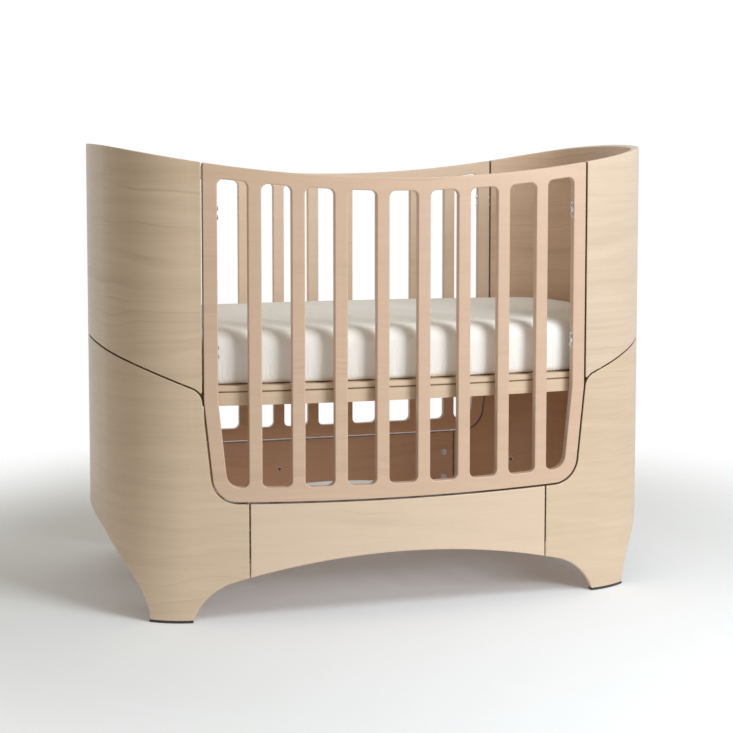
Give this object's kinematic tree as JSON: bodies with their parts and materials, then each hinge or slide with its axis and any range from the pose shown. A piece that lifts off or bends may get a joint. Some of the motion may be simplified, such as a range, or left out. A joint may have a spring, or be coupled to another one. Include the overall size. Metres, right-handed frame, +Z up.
{
  "type": "baby crib",
  "caption": "Oval baby crib of bent plywood: solid gables that run down into the legs, slatted sides, a base with two heights and a mattress",
  "frame": {"origin": "on the floor, under the middle of the crib", "axes": "+X along the crib, +Y from its front side to its back side, +Z up"},
  "size_m": [1.24, 0.684, 0.9774],
  "materials": {
    "birch_veneer": "clear satin lacquer over bent birch plywood",
    "birch_board": "clear satin lacquer",
    "pine": "planed",
    "beech": "turned, bare",
    "steel": "zinc-plated",
    "zinc": "die-cast, satin",
    "brass": "turned",
    "glide": "dark brown, matt",
    "cover": "off-white woven cotton cover"
  },
  "bodies": {
    "lower_frame": {"left_lower_gable": "birch_veneer", "right_lower_gable": "birch_veneer", "front_skirt": "birch_veneer", "back_skirt": "birch_veneer", "front_left_glide": "glide", "front_right_glide": "glide", "back_left_glide": "glide", "back_right_glide": "glide", "glide_screws": "zinc", "skirt_cams": "zinc", "cam_bolts": "steel", "skirt_dowels": "beech", "frame_inserts": "brass"},
    "crown": {"left_upper_gable": "birch_veneer", "right_upper_gable": "birch_veneer", "back_panel": "birch_veneer", "left_edge_inserts": "brass", "right_edge_inserts": "brass", "left_seam_dowels": "beech", "right_seam_dowels": "beech", "back_stile_plates": "steel", "back_stile_bolts": "steel", "back_panel_inserts": "brass"},
    "front_gate": {"front_panel": "birch_veneer", "front_stile_plates": "steel", "front_stile_bolts": "steel", "front_panel_inserts": "brass"},
    "bed_base": {"base_board": "birch_board", "front_base_rail": "birch_board", "back_base_rail": "birch_board", "left_base_hoop": "birch_board", "right_base_hoop": "birch_board", "base_bearers": "pine", "base_screws": "zinc", "base_bolts": "steel"},
    "mattress_body": {"mattress": "cover"}
  },
  "joints": [
    {"name": "crown_lift", "type": "slide", "parent": "lower_frame", "child": "crown", "axis": [0, 0, 1], "range_m": [0, 0.35]},
    {"name": "front_panel_off", "type": "slide", "parent": "crown", "child": "front_gate", "axis": [0, -1, 0], "range_m": [0, 0.25]},
    {"name": "base_height", "type": "slide", "parent": "lower_frame", "child": "bed_base", "axis": [0, 0, 1], "range_m": [-0.29, 0]},
    {"name": "mattress_lift", "type": "slide", "parent": "bed_base", "child": "mattress_body", "axis": [0, 0, 1], "range_m": [0, 0.35]}
  ]
}
